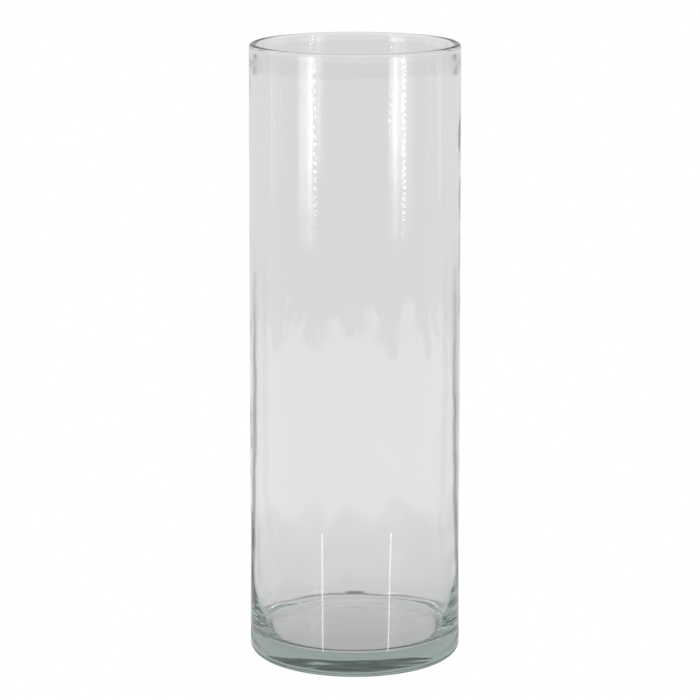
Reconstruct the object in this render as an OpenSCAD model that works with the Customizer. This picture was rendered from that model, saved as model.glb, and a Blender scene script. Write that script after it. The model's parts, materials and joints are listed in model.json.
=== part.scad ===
// Tall cylinder vase of clear pressed glass, made in one piece and open at the top.
// The origin is the middle of the face that it stands on, and +Z runs up through the mouth.
// All sizes are in millimetres.

/* [Outside] */
// Overall height, from the table to the crown of the rim
height = 300; // [150:1:400]
// Diameter of the outer wall where it leaves the table
foot_d = 103; // [96:0.5:160]
// Diameter of the outer wall at the rim
lip_d = 101; // [94:0.5:160]
// Radius of the rounded heel between the wall and the underside
heel_r = 4.2; // [2:0.1:5]

/* [Wall] */
// Thickness of the upper wall
wall_t = 2.8; // [1.6:0.1:3.2]
// Height above the table at which the wall begins to thicken towards the base
thicken_z = 110; // [60:1:140]
// Thickness of the wall just above the swelling at its foot
foot_wall_t = 3; // [2.4:0.1:4]
// Height above the table of that swelling's upper end
swell_z = 30; // [26:1:50]
// Thickness of the wall level with the top of the inside corner
corner_wall_t = 5.1; // [4:0.1:8]

/* [Rim] */
// Thickness of the fire-polished rim, a bead that stands in from the wall
rim_t = 3.6; // [3.3:0.1:5]
// Height of the straight land inside the rim
rim_land_h = 3; // [2:0.5:6]
// Height over which the rim runs out into the wall below it
rim_runout_h = 6; // [3:0.5:12]

/* [Base] */
// Height of the inside floor above the table
floor_z = 10.8; // [6:0.1:15]
// Radius of the fillet between the inside floor and the wall
corner_r = 5; // [3:0.5:9]
// Radius of the hollow under the base, inside the ring that the vase stands on
kick_r = 42; // [20:1:42]
// Rise of that hollow at its centre
kick_rise = 0.3; // [0.2:0.1:4]

/* [Hidden] */
$fa = 2;
$fs = 0.4;

foot_r = foot_d / 2;
lip_r = lip_d / 2;
mouth_r = lip_r - rim_t;

// The crown of the rim is a full round, as wide as the rim is thick.
crown_r = rim_t / 2;
crown_z = height - crown_r;
land_z = crown_z - rim_land_h;
runout_z = land_z - rim_runout_h;

// Radius of the outer wall at a height: it tapers evenly from the foot to the crown.
function outer_at(z) = foot_r + (lip_r - foot_r) * z / crown_z;

// The inside corner is an arc, and the swollen wall above it is a line that touches the arc.
corner_z = floor_z + corner_r;
corner_x = outer_at(corner_z) - corner_wall_t - corner_r;
swell_x = outer_at(swell_z) - foot_wall_t;
swell_away = norm([swell_x - corner_x, swell_z - corner_z]);
lean = atan2(swell_x - corner_x, swell_z - corner_z) - asin(corner_r / swell_away);

// The hollow underneath is part of a large sphere that meets the table on the circle kick_r.
kick_sphere_r = (kick_r * kick_r + kick_rise * kick_rise) / (2 * kick_rise);

// Half section of the outside: a tapering wall on a round heel, up to where the crown begins.
module outside() {
    polygon([
        [0, 0],
        [outer_at(heel_r) - heel_r, 0],
        [outer_at(heel_r) - heel_r, heel_r],
        [outer_at(heel_r), heel_r],
        [lip_r, crown_z],
        [0, crown_z]
    ]);
    translate([outer_at(heel_r) - heel_r, heel_r]) circle(heel_r);
}

// Half section of the hollow that holds the water, from the floor to past the mouth.
module inside() {
    polygon([
        [0, floor_z],
        [corner_x, floor_z],
        [corner_x + corner_r * cos(lean), corner_z - corner_r * sin(lean)],
        [swell_x, swell_z],
        [outer_at(thicken_z) - wall_t, thicken_z],
        [outer_at(runout_z) - wall_t, runout_z],
        [mouth_r, land_z],
        [mouth_r, height],
        [0, height]
    ]);
    translate([corner_x, corner_z]) circle(corner_r);
}

// Half section of the shallow hollow under the base.
module kick() {
    translate([0, kick_rise - kick_sphere_r]) circle(kick_sphere_r);
}

// Half section of the full-round crown of the rim.
module crown() {
    translate([mouth_r + crown_r, crown_z]) circle(crown_r);
}

// The whole vase is one turned section.
module glass_vase() {
    color([0.84, 0.9, 0.88, 0.4])
        rotate_extrude() {
            difference() {
                outside();
                inside();
                kick();
            }
            crown();
        }
}

glass_vase();
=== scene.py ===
"""Looks of the glass cylinder vase: one thick-based piece of clear glass, turned as a single mesh."""

import json
import math

import bpy
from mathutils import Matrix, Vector, noise


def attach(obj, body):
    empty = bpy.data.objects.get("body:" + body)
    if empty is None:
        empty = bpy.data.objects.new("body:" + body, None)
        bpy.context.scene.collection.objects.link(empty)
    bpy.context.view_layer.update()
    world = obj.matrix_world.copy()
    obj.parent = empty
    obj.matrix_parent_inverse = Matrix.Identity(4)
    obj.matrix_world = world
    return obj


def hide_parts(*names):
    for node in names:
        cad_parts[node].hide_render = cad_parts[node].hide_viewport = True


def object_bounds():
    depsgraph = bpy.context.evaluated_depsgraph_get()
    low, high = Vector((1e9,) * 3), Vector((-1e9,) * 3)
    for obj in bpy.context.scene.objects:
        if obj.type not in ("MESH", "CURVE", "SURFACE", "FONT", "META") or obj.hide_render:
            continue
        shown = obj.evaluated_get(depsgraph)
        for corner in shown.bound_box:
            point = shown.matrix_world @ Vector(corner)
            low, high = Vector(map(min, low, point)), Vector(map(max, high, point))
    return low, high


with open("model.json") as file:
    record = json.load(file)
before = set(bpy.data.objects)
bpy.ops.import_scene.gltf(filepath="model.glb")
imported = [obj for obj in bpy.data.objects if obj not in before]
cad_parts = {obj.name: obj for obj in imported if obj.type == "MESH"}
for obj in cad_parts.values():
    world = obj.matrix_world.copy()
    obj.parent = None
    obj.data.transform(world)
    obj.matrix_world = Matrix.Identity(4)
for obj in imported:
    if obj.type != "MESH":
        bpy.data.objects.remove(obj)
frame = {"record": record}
cad_low, cad_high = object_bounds()

# Sizes in metres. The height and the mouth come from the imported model. The wall tapers a little.
HEIGHT = cad_high.z
FOOT_R = 0.0515
LIP_R = 0.0505
MOUNTS = {mount["name"]: mount for mount in frame["record"]["mounts"]}
MOUTH_R = MOUNTS["mouth"]["dims"]["r_mm"] / 1000
LAND_H = MOUNTS["mouth"]["dims"]["length_mm"] / 1000
CROWN_R = (LIP_R - MOUTH_R) / 2
HEEL_R = 0.0042
WALL_T = 0.0028
FOOT_WALL_T = 0.003
THICKEN_Z = 0.110
RUNOUT_H = 0.006
FLOOR_Z = 0.0108
CORNER_R = 0.005
# The wall flares inward above the inside corner, by FLARE_T at the floor, falling off over FLARE_H.
FLARE_T = 0.0035
FLARE_H = 0.01
KICK_R = 0.042
KICK_RISE = 0.0003
# The flat ring's first point lies this far outside the hollow, whose waves stop as far inside its edge.
KICK_GAP = 0.001

# How finely the section and its turning are divided.
UNDER_STEPS = 24
FOOT_STEPS = 4
HEEL_STEPS = 12
OUTER_STEPS = 72
RIM_STEPS = 20
INNER_STEPS = 128
CORNER_STEPS = 12
FLOOR_STEPS = 30
SIDES = 288
# Above 1, this crowds the inside wall's points together towards the corner.
INNER_CROWDING = 1.6

# Unevenness of the formed glass: how far each wave moves the surface, and the length of one wave. The inside
# wall is less even from LOW_TOP_Z down, fully so LOW_FADE_H below that. It is even in the top RIM_CLEAR_H.
INNER_SWELL = 0.00012
LOW_SWELL = 0.00045
SWELL_PITCH = 0.045
SWELL_STRETCH = 0.7
LOW_TOP_Z = 0.16
LOW_FADE_H = 0.14
INNER_RIPPLE = 0.00005
INNER_RIPPLE_PITCH = 0.012
INNER_RIPPLE_STRETCH = 0.8
RIM_CLEAR_H = 0.006
RIM_FADE_H = 0.02
# The outside wall has long faint waves, and is drawn in a little round WAIST_Z.
OUTER_RIPPLE = 0.00004
OUTER_RIPPLE_PITCH = 0.06
OUTER_WAIST = 0.00025
WAIST_Z = 0.055
WAIST_H = 0.05
# The floor is less even beyond FLOOR_CALM_R, and the underside is even at the edge of its hollow.
FLOOR_SWELL = 0.00012
FLOOR_SWELL_PITCH = 0.016
FLOOR_RIPPLE = 0.00004
FLOOR_EDGE_RIPPLE = 0.00012
FLOOR_RIPPLE_PITCH = 0.006
FLOOR_CALM_R = 0.018
FLOOR_CALM_FADE = 0.02
UNDER_RIPPLE = 0.00006
UNDER_RIPPLE_PITCH = 0.014
UNDER_FADE = 0.008

# Glass: its tint comes mostly from the depth of glass that the light has crossed.
SURFACE_TINT = (0.995, 0.986, 0.988, 1)
DEPTH_TINT = (0.645, 0.745, 0.725, 1)
DEPTH_DENSITY = 20
GLASS_IOR = 1.52
# A very fine unevenness, drawn out along the wall.
FINE_SCALE = 160
FINE_STRETCH = (1, 1, 0.12)
FINE_STRENGTH = 0.15
FINE_DEPTH = 0.00003
# Light turns round many times inside thick glass before it comes out.
LIGHT_BOUNCES = 48

# The camera: where it is, how far it looks down and to its left in degrees, and its lens in millimetres.
EYE = (0, -1.431, 0.458)
EYE_DOWN = 12.127
EYE_TURN = 0.095
EYE_LENS = 154.9
EYE_SENSOR = 36

# Brightness of the room by the height of the direction looked in, from level (0) to straight up (1).
ROOM_STOPS = [(0.0, 0.7), (0.15, 0.64), (0.4, 0.58), (0.65, 0.5), (0.8, 0.5), (0.95, 1.0)]
# The darker sides of the room are gone by the first of these heights, and full by the second.
ROOM_SIDES = (0.15, 0.05)
# Brightness by bearing in degrees, from straight behind the vase. Positive bearings lie to the right.
SIDE_STOPS = [(-48, 1.0), (-41, 0.5), (-34, 0.45), (-26, 1.0), (8, 1.0), (17, 0.95), (27, 0.8), (35, 0.42),
              (42, 0.45), (49, 1.0)]

# The floor's painted light and shade by the distance from the vase's axis, darker close to the foot as
# painted shade. A noise stretches or shortens the distance by up to half of CLOUD, with about CLOUD_SPREAD
# waves a metre along X and Y.
FLOOR_FAR = 3.0
FLOOR_DROP = 0.0003
FAR_PAINTED_LIGHT_STOPS = [(0.0, 0.62), (0.085, 0.67), (0.12, 0.73), (0.2, 0.76), (0.28, 0.86), (0.72, 0.85),
             (0.82, 0.77), (1.0, 0.77)]
CLOUD = 1.0
CLOUD_SPREAD = (38, 4.5, 0)
# The floor's painted darker sides, a painted shade, come in over one pair of distances and go out over the
# other, far end first.
FLOOR_SHADE_SIDES_IN = (0.09, 0.2)
FLOOR_SHADE_SIDES_OUT = (1.3, 0.55)

# The floor's painted shade near the foot, seen only through the glass: a thin painted shadow ring with
# painted shade under the vase inside it, painted contact shade that lies in front only, and a front that is
# FRONT_GREY as bright as the back. The stops are brightness by the distance from the vase's axis, as a share
# of SHADE_REACH.
# The fades are places along Y.
SHADE_REACH = 0.12
SHADOW_RING_STOPS = [(0.0, 0.80), (0.40, 0.88), (0.49, 0.95), (0.51, 0.5), (0.54, 0.5), (0.57, 0.97)]
CONTACT_SHADE_STOPS = [(0.0, 1.0), (0.37, 1.0), (0.39, 0.35), (0.44, 0.35), (0.47, 1.0)]
CONTACT_SHADE_FADE = (0.0, 0.03)
FRONT_GREY = 0.84
FRONT_FADE = (-0.045, 0.01)
# A narrow painted shadow lies on the floor straight behind the foot, and is fully dark over the middle
# SHADOW_PATCH_CORE of it.
SHADOW_PATCH_HALF = 0.0072
SHADOW_PATCH_CORE = 0.3
SHADOW_PATCH_START = (0.061, 0.067)
SHADOW_PATCH_END = (0.079, 0.071)
SHADOW_PATCH_GREY = 0.36

# Tall glowing screens round the vase, each with its brightness across its width.
LAMP_AWAY = 1.0
BEADS_AWAY = 1.03
LAMP_TOP = 1.4
LAMP_COLUMNS = 48
LAMP_FADE = (0.03, 0.11)
BEAD_DARK = 0.1
BEAD_FULL = 0.8
LEFT_WINDOW = [(0, 0), (0.11, 0.16), (0.23, 0.26), (0.545, 0.3), (0.66, 0.5), (0.77, 0.55),
               (0.864, 0.22), (0.977, 0.04), (1, 0)]
RIGHT_WINDOW = [(0, 0), (0.118, 0.08), (0.206, 0.14), (0.25, 0.3), (0.309, 0.38), (0.368, 0.22),
                (0.456, 0.14), (0.676, 0.15), (0.824, 0.09), (0.94, 0.04), (1, 0)]
BEADS = [(0, 0), (0.3, 1), (0.7, 1), (1, 0)]
STRIP = [(0, 0), (0.4, 1), (0.6, 1), (1, 0)]
GLINT_WIDTH = 0.0023
GLINT_STRENGTH = 6


def line(start, end, steps):
    """Points from start up to but not at end, evenly spaced."""
    (r0, z0), (r1, z1) = start, end
    return [(r0 + (r1 - r0) * i / steps, z0 + (z1 - z0) * i / steps) for i in range(steps)]


def arc(centre, radius, start_deg, end_deg, steps):
    """Points along an arc, from its start up to but not at its end."""
    points = []
    for i in range(steps):
        angle = math.radians(start_deg + (end_deg - start_deg) * i / steps)
        points.append((centre[0] + radius * math.cos(angle), centre[1] + radius * math.sin(angle)))
    return points


def ease(share):
    """A smooth step from 0 to 1."""
    share = min(max(share, 0.0), 1.0)
    return share * share * (3 - 2 * share)


def outer_radius(z):
    """Radius of the outside wall at height z: a straight taper from the foot to the lip."""
    return FOOT_R + (LIP_R - FOOT_R) * z / (HEIGHT - CROWN_R)


def wall_radius(z):
    """Radius of the inside wall at height z: the wall is thicker at the foot and under the rim."""
    thickness = WALL_T + (FOOT_WALL_T - WALL_T) * ease((THICKEN_Z - z) / (THICKEN_Z - FLOOR_Z))
    thickness += FLARE_T * math.exp((FLOOR_Z - z) / FLARE_H)
    land_z = HEIGHT - CROWN_R - LAND_H
    bead = ease((z - land_z + RUNOUT_H) / RUNOUT_H)
    thickness += (LIP_R - MOUTH_R - thickness) * bead
    return outer_radius(z) - thickness


def inside_corner():
    """Where the wall runs into the corner's arc: that height, and the wall's lean there."""
    tiny = 0.00005
    foot_z, lean = FLOOR_Z + CORNER_R, 0.0
    for _ in range(6):
        lean = math.atan((wall_radius(foot_z + tiny) - wall_radius(foot_z)) / tiny)
        foot_z = FLOOR_Z + CORNER_R * (1 - math.sin(lean))
    return foot_z, lean


def section():
    """The vase's half section, from the middle of its underside round to the middle of its floor."""
    crown_z = HEIGHT - CROWN_R
    heel_x = outer_radius(HEEL_R) - HEEL_R
    ring_x = KICK_R + KICK_GAP
    points = []
    for i in range(1, UNDER_STEPS + 1):
        r = KICK_R * i / UNDER_STEPS
        points.append((r, KICK_RISE * (1 - (r / KICK_R) ** 2), "under"))
    points += [(r, z, "under") for r, z in line((ring_x, 0), (heel_x, 0), FOOT_STEPS)]
    points += [(r, z, "outer") for r, z in arc((heel_x, HEEL_R), HEEL_R, -90, 0, HEEL_STEPS)]
    points += [(r, z, "outer") for r, z in line((heel_x + HEEL_R, HEEL_R), (LIP_R, crown_z), OUTER_STEPS)]
    points += [(r, z, "rim") for r, z in arc((LIP_R - CROWN_R, crown_z), CROWN_R, 0, 180, RIM_STEPS)]
    foot_z, lean = inside_corner()
    for i in range(INNER_STEPS):
        z = foot_z + (crown_z - foot_z) * (1 - i / INNER_STEPS) ** INNER_CROWDING
        points.append((wall_radius(z), z, "inner"))
    corner = (wall_radius(foot_z) - CORNER_R * math.cos(lean), FLOOR_Z + CORNER_R)
    lean_deg = math.degrees(lean)
    points += [(r, z, "inner") for r, z in arc(corner, CORNER_R, -lean_deg, -90, CORNER_STEPS)]
    points += [(r, z, "floor") for r, z in line((corner[0], FLOOR_Z), (0, FLOOR_Z), FLOOR_STEPS)]
    return points


def waves(x, y, z, pitch, stretch=1.0):
    """Smooth noise from -1 to 1, about one wave per pitch, drawn out along Z by stretch."""
    return noise.noise(Vector((x / pitch, y / pitch, z / pitch / stretch)))


def shaped(r, z, angle, part):
    """Where a point of the section lies at an angle, with the unevenness of formed glass."""
    x, y = r * math.cos(angle), r * math.sin(angle)
    if part == "inner":
        low = ease((LOW_TOP_Z - z) / LOW_FADE_H)
        clear_of_rim = ease((HEIGHT - RIM_CLEAR_H - z) / RIM_FADE_H)
        swell = (INNER_SWELL + LOW_SWELL * low) * waves(x, y, z, SWELL_PITCH, SWELL_STRETCH)
        ripple = INNER_RIPPLE * waves(x + 1, y, z, INNER_RIPPLE_PITCH, INNER_RIPPLE_STRETCH)
        r += (swell + ripple) * clear_of_rim
    elif part == "outer":
        r -= OUTER_WAIST * ease(1 - abs(z - WAIST_Z) / WAIST_H)
        r += OUTER_RIPPLE * waves(x, y + 1, z, OUTER_RIPPLE_PITCH)
    elif part == "floor":
        near_edge = ease((r - FLOOR_CALM_R) / FLOOR_CALM_FADE)
        z += FLOOR_SWELL * (1 + near_edge) * waves(x, y, 0.3, FLOOR_SWELL_PITCH)
        z += (FLOOR_RIPPLE + FLOOR_EDGE_RIPPLE * near_edge) * waves(x, y, 0.7, FLOOR_RIPPLE_PITCH)
    elif part == "under" and r < KICK_R - KICK_GAP:
        z += UNDER_RIPPLE * waves(x, y, 0.5, UNDER_RIPPLE_PITCH) * ease((KICK_R - r) / UNDER_FADE)
    return (r * math.cos(angle), r * math.sin(angle), z)


def turned_mesh(name, points):
    """A closed mesh of the section turned about Z, with a fan of triangles at each pole."""
    angles = [2 * math.pi * i / SIDES for i in range(SIDES)]
    vertices = [shaped(r, z, a, part) for r, z, part in points for a in angles]
    faces = []
    for row in range(len(points) - 1):
        for i in range(SIDES):
            j = (i + 1) % SIDES
            a, b = row * SIDES + i, row * SIDES + j
            faces.append((a, b, b + SIDES, a + SIDES))
    last = (len(points) - 1) * SIDES
    under_pole, floor_pole = len(vertices), len(vertices) + 1
    vertices.append(shaped(0, KICK_RISE, 0, "under"))
    vertices.append(shaped(0, FLOOR_Z, 0, "floor"))
    for i in range(SIDES):
        j = (i + 1) % SIDES
        faces.append((under_pole, j, i))
        faces.append((last + i, last + j, floor_pole))
    mesh = bpy.data.meshes.new(name)
    mesh.from_pydata(vertices, [], faces)
    mesh.validate()
    mesh.shade_smooth()
    return mesh


def glass_material():
    """Clear soda-lime glass with the faint green of its iron, which shows where it is thick."""
    material = bpy.data.materials.new("clear_glass")
    material.use_nodes = True
    nodes, links = material.node_tree.nodes, material.node_tree.links
    shader = nodes["Principled BSDF"]
    shader.inputs["Base Color"].default_value = SURFACE_TINT
    shader.inputs["Transmission Weight"].default_value = 1.0
    shader.inputs["IOR"].default_value = GLASS_IOR
    shader.inputs["Roughness"].default_value = 0.0
    place = nodes.new("ShaderNodeTexCoord")
    drawn = nodes.new("ShaderNodeVectorMath")
    drawn.operation = "MULTIPLY"
    drawn.inputs[1].default_value = FINE_STRETCH
    fine = nodes.new("ShaderNodeTexNoise")
    fine.inputs["Scale"].default_value = FINE_SCALE
    fine.inputs["Detail"].default_value = 1
    bump = nodes.new("ShaderNodeBump")
    bump.inputs["Strength"].default_value = FINE_STRENGTH
    bump.inputs["Distance"].default_value = FINE_DEPTH
    links.new(place.outputs["Object"], drawn.inputs[0])
    links.new(drawn.outputs["Vector"], fine.inputs["Vector"])
    links.new(fine.outputs["Fac"], bump.inputs["Height"])
    links.new(bump.outputs["Normal"], shader.inputs["Normal"])
    absorb = nodes.new("ShaderNodeVolumeAbsorption")
    absorb.inputs["Color"].default_value = DEPTH_TINT
    absorb.inputs["Density"].default_value = DEPTH_DENSITY
    links.new(absorb.outputs["Volume"], nodes["Material Output"].inputs["Volume"])
    return material


def vase():
    """The vase itself, in place of its plain CAD node."""
    piece = bpy.data.objects.new("glass_vase_body", turned_mesh("glass_vase_body", section()))
    bpy.context.scene.collection.objects.link(piece)
    piece.data.materials.append(glass_material())
    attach(piece, "root")
    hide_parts("glass_vase")
    return piece


def camera():
    """A long lens in front of the vase, above its rim and looking slightly down."""
    data = bpy.data.cameras.new("camera")
    data.sensor_width = EYE_SENSOR
    data.lens = EYE_LENS
    eye = bpy.data.objects.new("camera", data)
    eye.location = EYE
    eye.rotation_euler = (math.radians(90 - EYE_DOWN), 0, math.radians(EYE_TURN))
    bpy.context.scene.collection.objects.link(eye)
    bpy.context.scene.camera = eye


def scaled(tree, value, factor):
    """A node's output times a factor, which is a plain value or another node's output."""
    node = tree.nodes.new("ShaderNodeMath")
    node.operation = "MULTIPLY"
    tree.links.new(value, node.inputs[0])
    if isinstance(factor, (int, float)):
        node.inputs[1].default_value = factor
    else:
        tree.links.new(factor, node.inputs[1])
    return node.outputs["Value"]


def step(tree, value, start, end, smooth=True):
    """How far a value has come from start (0) to end (1), held at 0 and 1 beyond them."""
    node = tree.nodes.new("ShaderNodeMapRange")
    if smooth:
        node.interpolation_type = "SMOOTHSTEP"
    node.inputs["From Min"].default_value = start
    node.inputs["From Max"].default_value = end
    tree.links.new(value, node.inputs["Value"])
    return node.outputs["Result"]


def mixed(tree, share, start, end):
    """A blend from start to end by share, each a plain value or a node's output."""
    mix = tree.nodes.new("ShaderNodeMix")
    tree.links.new(share, mix.inputs["Factor"])
    for socket, value in ((mix.inputs["A"], start), (mix.inputs["B"], end)):
        if isinstance(value, (int, float)):
            socket.default_value = value
        else:
            tree.links.new(value, socket)
    return mix.outputs["Result"]


def ramp(tree, value, stops):
    """A grey that follows value through (position, brightness) stops."""
    node = tree.nodes.new("ShaderNodeValToRGB")
    node.color_ramp.interpolation = "EASE"
    while len(node.color_ramp.elements) < len(stops):
        node.color_ramp.elements.new(0.5)
    for element, (position, grey) in zip(node.color_ramp.elements, stops):
        element.position = position
        element.color = (grey, grey, grey, 1)
    tree.links.new(value, node.inputs["Fac"])
    return node.outputs["Color"]


def angle_of(tree, across, along):
    """The angle, in radians, of a direction whose parts across and along a zero line are given."""
    node = tree.nodes.new("ShaderNodeMath")
    node.operation = "ARCTAN2"
    tree.links.new(across, node.inputs[0])
    tree.links.new(along, node.inputs[1])
    return node.outputs["Value"]


def by_bearing(tree, split):
    """A grey that is darker in a band on each side of straight behind the vase."""
    turned = angle_of(tree, split.outputs["X"], split.outputs["Y"])
    bearing = step(tree, turned, -math.pi, math.pi, smooth=False)
    return ramp(tree, bearing, [((degrees + 180) / 360, grey) for degrees, grey in SIDE_STOPS])


def white_to_camera(tree, grey):
    """A strength of 1 where the camera looks straight at it, and grey for light that meets the glass."""
    path = tree.nodes.new("ShaderNodeLightPath")
    return mixed(tree, path.outputs["Is Camera Ray"], grey, 1.0)


def surroundings():
    """A pale room, dimmer further up, with a light patch straight overhead."""
    world = bpy.data.worlds.new("room")
    bpy.context.scene.world = world
    world.use_nodes = True
    tree = world.node_tree
    place = tree.nodes.new("ShaderNodeTexCoord")
    split = tree.nodes.new("ShaderNodeSeparateXYZ")
    tree.links.new(place.outputs["Generated"], split.inputs["Vector"])
    low = step(tree, split.outputs["Z"], *ROOM_SIDES)
    sides = mixed(tree, low, 1.0, by_bearing(tree, split))
    grey = scaled(tree, ramp(tree, split.outputs["Z"], ROOM_STOPS), sides)
    background = tree.nodes["Background"]
    background.inputs["Color"].default_value = (1, 1, 1, 1)
    tree.links.new(white_to_camera(tree, grey), background.inputs["Strength"])


def painted_foot_shade(tree, split, distance):
    """The floor's painted shade near the foot: a thin painted shadow ring, a painted shadow straight behind,
    and painted contact shade in front.
    """
    x, y = split.outputs["X"], split.outputs["Y"]
    share = scaled(tree, distance, 1 / SHADE_REACH)
    # Painted shadow ring round the foot, with painted shade under the vase inside it.
    ring = ramp(tree, share, SHADOW_RING_STOPS)
    # Painted shadow on the floor straight behind the foot.
    narrow = step(tree, scaled(tree, x, x), SHADOW_PATCH_HALF ** 2, (SHADOW_PATCH_CORE * SHADOW_PATCH_HALF) ** 2)
    patch = scaled(tree, scaled(tree, narrow, step(tree, y, *SHADOW_PATCH_START)), step(tree, y, *SHADOW_PATCH_END))
    shade = scaled(tree, ring, mixed(tree, patch, 1.0, SHADOW_PATCH_GREY))
    # The front of the floor is painted darker than the back, as shade.
    shade = scaled(tree, shade, mixed(tree, step(tree, y, *FRONT_FADE), FRONT_GREY, 1.0))
    # Painted contact shade in front of the foot.
    contact = ramp(tree, share, CONTACT_SHADE_STOPS)
    return scaled(tree, shade, mixed(tree, step(tree, y, *CONTACT_SHADE_FADE), contact, 1.0))


def painted_open_floor(tree, place, split, distance):
    """The floor's painted light further off: uneven rings of painted light and shade, with a painted darker
    band on each side.
    """
    spread = tree.nodes.new("ShaderNodeVectorMath")
    spread.operation = "MULTIPLY"
    spread.inputs[1].default_value = CLOUD_SPREAD
    tree.links.new(place.outputs["Object"], spread.inputs[0])
    cloud = tree.nodes.new("ShaderNodeTexNoise")
    cloud.inputs["Scale"].default_value = 1.0
    cloud.inputs["Detail"].default_value = 2
    tree.links.new(spread.outputs["Vector"], cloud.inputs["Vector"])
    uneven = mixed(tree, cloud.outputs["Fac"], 1 - CLOUD / 2, 1 + CLOUD / 2)
    # Painted light and shade in rings round the vase, darker close to the foot.
    rings = ramp(tree, scaled(tree, distance, uneven), FAR_PAINTED_LIGHT_STOPS)
    # Painted shade: a darker band on each side.
    shaded_sides = scaled(tree, step(tree, distance, *FLOOR_SHADE_SIDES_IN), step(tree, distance, *FLOOR_SHADE_SIDES_OUT))
    return scaled(tree, rings, mixed(tree, shaded_sides, 1.0, by_bearing(tree, split)))


def floor():
    """A wide pale floor that glows, white to the camera; to the light that meets the glass it shows painted
    light and shade in soft greys.
    """
    mesh = bpy.data.meshes.new("floor")
    corners = [(-FLOOR_FAR, -FLOOR_FAR, 0), (FLOOR_FAR, -FLOOR_FAR, 0), (FLOOR_FAR, FLOOR_FAR, 0),
               (-FLOOR_FAR, FLOOR_FAR, 0)]
    mesh.from_pydata(corners, [], [(0, 1, 2, 3)])
    sheet = bpy.data.objects.new("floor", mesh)
    sheet.location.z = -FLOOR_DROP
    bpy.context.scene.collection.objects.link(sheet)
    material = bpy.data.materials.new("floor")
    material.use_nodes = True
    tree = material.node_tree
    tree.nodes.remove(tree.nodes["Principled BSDF"])
    place = tree.nodes.new("ShaderNodeTexCoord")
    length = tree.nodes.new("ShaderNodeVectorMath")
    length.operation = "LENGTH"
    tree.links.new(place.outputs["Object"], length.inputs[0])
    distance = length.outputs["Value"]
    split = tree.nodes.new("ShaderNodeSeparateXYZ")
    tree.links.new(place.outputs["Object"], split.inputs["Vector"])
    # Painted light and shade on the floor, for the light that meets the glass.
    grey = scaled(tree, painted_open_floor(tree, place, split, distance), painted_foot_shade(tree, split, distance))
    glow = tree.nodes.new("ShaderNodeEmission")
    tree.links.new(white_to_camera(tree, grey), glow.inputs["Strength"])
    tree.links.new(glow.outputs["Emission"], tree.nodes["Material Output"].inputs["Surface"])
    mesh.materials.append(material)


def added_glow(name):
    """A see-through material that adds light to what lies behind it, and its emission node."""
    material = bpy.data.materials.new(name)
    material.use_nodes = True
    material.cycles.emission_sampling = "NONE"
    tree = material.node_tree
    tree.nodes.remove(tree.nodes["Principled BSDF"])
    glow = tree.nodes.new("ShaderNodeEmission")
    clear = tree.nodes.new("ShaderNodeBsdfTransparent")
    both = tree.nodes.new("ShaderNodeAddShader")
    tree.links.new(glow.outputs["Emission"], both.inputs[0])
    tree.links.new(clear.outputs["BSDF"], both.inputs[1])
    tree.links.new(both.outputs["Shader"], tree.nodes["Material Output"].inputs["Surface"])
    return material, glow


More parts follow.
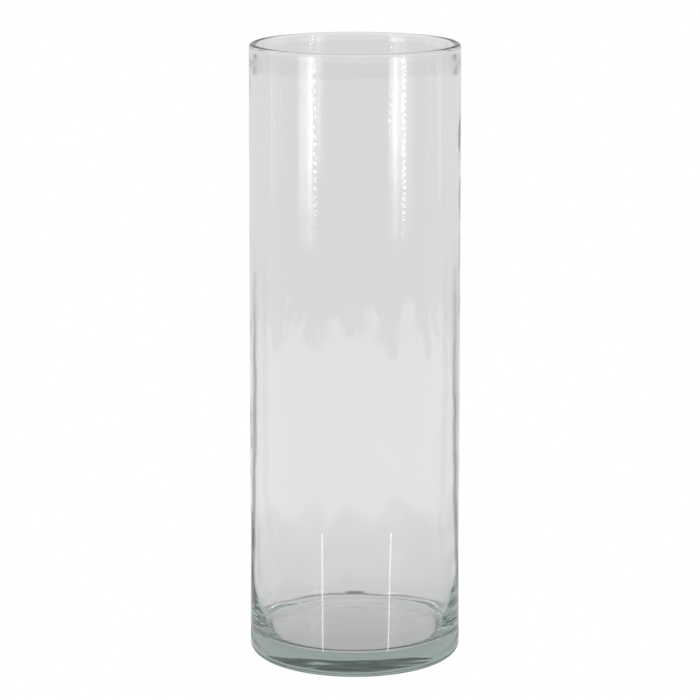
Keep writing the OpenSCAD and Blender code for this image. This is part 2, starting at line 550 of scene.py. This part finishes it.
def lamp(name, azimuths, stops, strength, away=LAMP_AWAY, bead_pitch=None):
    """An upright glowing screen round part of the vase, which the camera sees only by way of the glass.

    It spans azimuths, in degrees from the camera's side of the vase, at the distance away from the axis.
    The stops give its brightness across that span, and bead_pitch breaks it up into small lamps one above
    another. It fades out towards the floor.
    """
    start, end = (math.radians(azimuth) for azimuth in azimuths)
    vertices, faces = [], []
    for i in range(LAMP_COLUMNS + 1):
        turn = start + (end - start) * i / LAMP_COLUMNS
        x, y = away * math.sin(turn), -away * math.cos(turn)
        vertices += [(x, y, 0), (x, y, LAMP_TOP)]
    for i in range(LAMP_COLUMNS):
        faces.append((2 * i, 2 * i + 2, 2 * i + 3, 2 * i + 1))
    mesh = bpy.data.meshes.new(name)
    mesh.from_pydata(vertices, [], faces)
    screen = bpy.data.objects.new(name, mesh)
    bpy.context.scene.collection.objects.link(screen)
    screen.visible_camera = False
    material, glow = added_glow(name)
    tree = material.node_tree
    place = tree.nodes.new("ShaderNodeTexCoord")
    split = tree.nodes.new("ShaderNodeSeparateXYZ")
    tree.links.new(place.outputs["Object"], split.inputs["Vector"])
    azimuth = angle_of(tree, split.outputs["X"], scaled(tree, split.outputs["Y"], -1))
    across = ramp(tree, step(tree, azimuth, start, end, smooth=False), stops)
    light = scaled(tree, across, step(tree, split.outputs["Z"], *LAMP_FADE))
    light = scaled(tree, light, strength)
    if bead_pitch:
        wave = tree.nodes.new("ShaderNodeMath")
        wave.operation = "SINE"
        tree.links.new(scaled(tree, split.outputs["Z"], 2 * math.pi / bead_pitch), wave.inputs[0])
        light = scaled(tree, light, step(tree, wave.outputs["Value"], BEAD_DARK, BEAD_FULL, smooth=False))
    tree.links.new(light, glow.inputs["Strength"])
    mesh.materials.append(material)


def glint(name, foot, head):
    """A narrow glowing strip close in front of the vase, seen only where the outside wall mirrors it."""
    half = GLINT_WIDTH / 2
    (x0, y0, z0), (x1, y1, z1) = foot, head
    corners = [(x0 - half, y0, z0), (x0 + half, y0, z0), (x1 + half, y1, z1), (x1 - half, y1, z1)]
    mesh = bpy.data.meshes.new(name)
    mesh.from_pydata(corners, [], [(0, 1, 2, 3)])
    strip = bpy.data.objects.new(name, mesh)
    bpy.context.scene.collection.objects.link(strip)
    strip.visible_camera = False
    strip.visible_transmission = False
    material, glow = added_glow(name)
    glow.inputs["Strength"].default_value = GLINT_STRENGTH
    mesh.materials.append(material)


def lamps():
    """Two tall windows in front, each with a row of small lamps, two glints, and a faint strip each side."""
    lamp("left_window", (-65, -43), LEFT_WINDOW, 6)
    lamp("right_window", (34, 68), RIGHT_WINDOW, 6)
    lamp("right_beads", (52, 55.5), BEADS, 10, away=BEADS_AWAY, bead_pitch=0.0053)
    lamp("left_beads", (-44.5, -42), BEADS, 8, away=BEADS_AWAY, bead_pitch=0.0071)
    glint("left_glint", (-0.0385, -0.0821, 0.001), (-0.0395, -0.0814, 0.06))
    glint("right_glint", (0.040, -0.0812, 0.001), (0.0432, -0.079, 0.06))
    lamp("left_strip", (-101, -99), STRIP, 1.2)
    lamp("right_strip", (103, 105), STRIP, 1.2)


camera()
surroundings()
floor()
lamps()
vase()
scene = bpy.context.scene
scene.view_settings.view_transform = "Standard"
scene.cycles.max_bounces = scene.cycles.glossy_bounces = scene.cycles.transmission_bounces = LIGHT_BOUNCES
